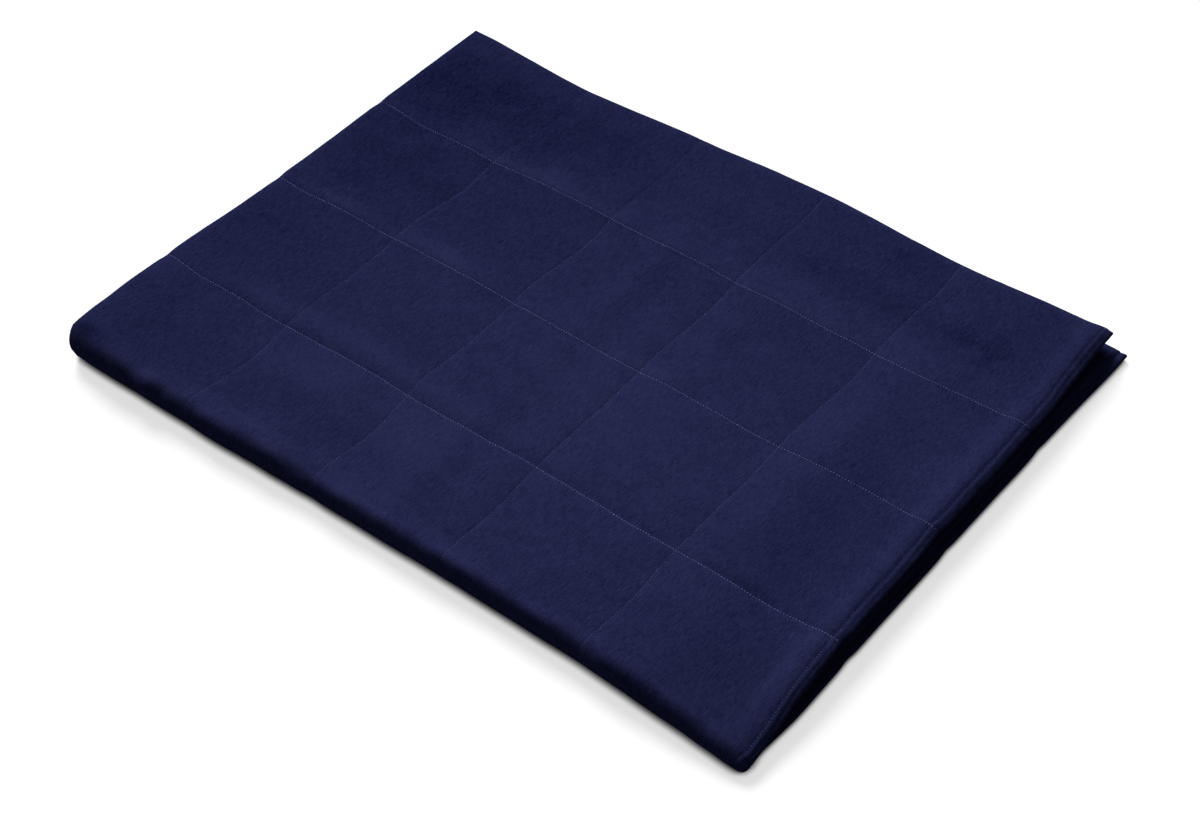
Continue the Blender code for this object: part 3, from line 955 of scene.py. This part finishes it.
class Finish:
    """A material whose nodes are added one at a time."""

    def __init__(self, name):
        self.material = bpy.data.materials.new(name)
        self.material.use_nodes = True
        self.tree = self.material.node_tree
        self.shader = self.tree.nodes["Principled BSDF"]

    def node(self, kind, settings, sockets, output=0):
        """Adds a node: its settings first, then its sockets' values or links."""
        made = self.tree.nodes.new(kind)
        for name, value in settings.items():
            setattr(made, name, value)
        for name, value in sockets.items():
            self.fill(made.inputs[name], value)
        return Value(self, made.outputs[output])

    def fill(self, socket, value):
        """Links a socket, or sets its value."""
        if isinstance(value, Value):
            self.tree.links.new(value.socket, socket)
        else:
            socket.default_value = value

    def math(self, operation, *values):
        """A Math node."""
        return self.node("ShaderNodeMath", {"operation": operation}, dict(enumerate(values)))

    def blend(self, share, first, second):
        """A colour between two colours."""
        settings = {"data_type": "RGBA"}
        sockets = {"Factor": share, 6: first, 7: second}
        return self.node("ShaderNodeMix", settings, sockets, 2)

    def noise(self, place, kind):
        """Noise of one of the kinds above, from -1 to 1 or so."""
        stretch, scale, detail, roughness = kind
        stretched = self.node("ShaderNodeMapping", {}, {"Vector": place, "Scale": stretch})
        sockets = {"Vector": stretched, "Scale": scale, "Detail": detail, "Roughness": roughness}
        return self.node("ShaderNodeTexNoise", {}, sockets) * 2 - 1

    def bump(self, height):
        """Fine relief of a height in metres."""
        sockets = {"Strength": 1.0, "Distance": 1.0, "Height": height}
        return self.node("ShaderNodeBump", {}, sockets)

    def surface(self, sockets):
        """Fills the shader's sockets."""
        for name, value in sockets.items():
            self.fill(self.shader.inputs[name], value)
        return self.material


def navy_cloth():
    """Navy brushed cloth: a short soft nap over a fine weave."""
    finish = Finish("navy_brushed_cloth")
    cloth = finish.node("ShaderNodeUVMap", {"uv_map": "cloth"}, {})
    # Painted light and shade, kept on the mesh's points.
    painted_shading_value = finish.node("ShaderNodeAttribute", {"attribute_name": "painted_shading"}, {}, 2)
    mottle = finish.noise(cloth, MOTTLE)
    tufts = finish.noise(cloth, TUFTS)
    streaks = finish.noise(cloth, STREAKS)
    grain = finish.noise(cloth, GRAIN)
    weave = finish.noise(cloth, WARP) + finish.noise(cloth, WEFT) * WEFT_SHARE
    dapple = mottle * MOTTLE_SHADE + tufts * TUFT_SHADE + streaks * STREAK_SHADE
    dapple = dapple + grain * GRAIN_SHADE + weave * WEAVE_SHADE
    # Mottle of the cloth plus painted light and shade; the paler, greyer end stands for a
    # painted sheen.
    colour = finish.blend(0.5 + (dapple + painted_shading_value) / SHADE_SPAN, DEEP_NAVY, GREYER_NAVY_PAINTED_SHEEN)
    height = grain * GRAIN_HEIGHT + weave * WEAVE_HEIGHT + tufts * TUFT_HEIGHT
    return finish.surface({
        "Base Color": colour,
        "Roughness": CLOTH_ROUGHNESS + mottle * ROUGHNESS_SPREAD,
        "Specular IOR Level": 0.0,
        "Sheen Weight": SHEEN,
        "Sheen Roughness": SHEEN_ROUGHNESS,
        "Sheen Tint": SHEEN_TINT,
        "Normal": finish.bump(height),
    })


def thread(name, shades):
    """Polyester sewing thread, smoother than the cloth and mottled from dark to light."""
    finish = Finish(name)
    place = finish.node("ShaderNodeTexCoord", {}, {}, 3)
    shade = finish.noise(place, THREAD_MOTTLE) * 0.5 + 0.5
    return finish.surface({
        "Base Color": finish.blend(shade, *shades),
        "Roughness": THREAD_ROUGHNESS,
        "Specular IOR Level": THREAD_GLOSS,
        "Normal": finish.bump(finish.noise(place, THREAD_TWIST) * TWIST_HEIGHT),
    })


def floor_finish():
    """Matt pale grey that glows as the camera sees it, less in the blanket's contact shadow."""
    finish = Finish("pale_floor")
    seen = finish.node("ShaderNodeLightPath", {}, {})
    openness = finish.node("ShaderNodeAmbientOcclusion", {}, {"Distance": CONTACT_REACH}, 1)
    closed, opened = CONTACT_RANGE
    lit = finish.node(
        "ShaderNodeMapRange",
        {"interpolation_type": "SMOOTHSTEP"},
        {"Value": openness, "From Min": closed, "From Max": opened},
    )
    return finish.surface({
        "Base Color": FLOOR_GREY,
        "Emission Color": finish.blend(seen * lit, NO_GLOW, FLOOR_GLOW),
        "Emission Strength": 1.0,
        "Roughness": 1.0,
        "Specular IOR Level": 0.0,
    })


def floor():
    """Pale seamless studio floor."""
    shape = bmesh.new()
    bmesh.ops.create_grid(shape, x_segments=1, y_segments=1, size=FLOOR_REACH)
    mesh = bpy.data.meshes.new("floor")
    shape.to_mesh(mesh)
    shape.free()
    mesh.materials.append(floor_finish())
    piece = bpy.data.objects.new("floor", mesh)
    bpy.context.scene.collection.objects.link(piece)


def light(name, kind, place, aim, energy, settings):
    """A lamp at a place, turned towards a point."""
    data = bpy.data.lights.new(name, kind)
    data.energy = energy
    for setting, value in settings.items():
        setattr(data, setting, value)
    lamp = bpy.data.objects.new(name, data)
    lamp.location = place
    direction = Vector(aim) - Vector(place)
    lamp.rotation_euler = direction.to_track_quat("-Z", "Y").to_euler()
    bpy.context.scene.collection.objects.link(lamp)


def studio():
    """Soft light from above and a little behind, on a dim surround."""
    world = bpy.data.worlds.new("studio")
    world.use_nodes = True
    back = world.node_tree.nodes["Background"]
    back.inputs["Color"].default_value = (1, 1, 1, 1)
    back.inputs["Strength"].default_value = SURROUND
    bpy.context.scene.world = world
    settings = {"angle": math.radians(SUN_ANGLE)}
    light("sky_panel", "SUN", SUN_PLACE, (0, 0, 0), SUN_STRENGTH, settings)
    settings = {"shape": "DISK", "size": PANEL_SIZE}
    light("key_panel", "AREA", PANEL_PLACE, PANEL_AIM, PANEL_POWER, settings)
    bpy.context.scene.view_settings.view_transform = "Standard"


def camera():
    """The camera, looking down over the blanket's hemmed fold corner."""
    data = bpy.data.cameras.new("camera")
    data.sensor_width = CAMERA_FILM
    data.sensor_fit = "HORIZONTAL"
    data.lens = CAMERA_LENS
    viewer = bpy.data.objects.new("camera", data)
    viewer.location = CAMERA_PLACE
    viewer.rotation_euler = [math.radians(angle) for angle in CAMERA_TURN]
    bpy.context.scene.collection.objects.link(viewer)
    bpy.context.scene.camera = viewer


def main():
    """Builds the blanket, its stitching and the studio."""
    cover_piece = quilted_cover(navy_cloth())
    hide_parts("blanket")
    # Lit and shaded copies of one thread: painted sheen on the long lines, painted shade on the
    # short lines and the hem.
    bright = thread("thread_painted_sheen", THREAD_PAINTED_SHEEN)
    dull = thread("thread_painted_darker", THREAD_PAINTED_DARKER)
    pale = thread("hem_thread_painted_darker", HEM_THREAD_PAINTED_DARKER)
    long_runs = [run_across(row) for row in range(1, CELLS_DOWN)]
    stitching("long_line_stitching", long_runs, bright, LONG_LINE_SEED)
    short_runs = [run_down(column) for column in range(1, CELLS_ACROSS)]
    stitching("short_line_stitching", short_runs, dull, SHORT_LINE_SEED)
    stitching("hem_stitching", [run_down(CELLS_ACROSS)], pale, HEM_SEED)
    floor()
    studio()
    camera()


main()
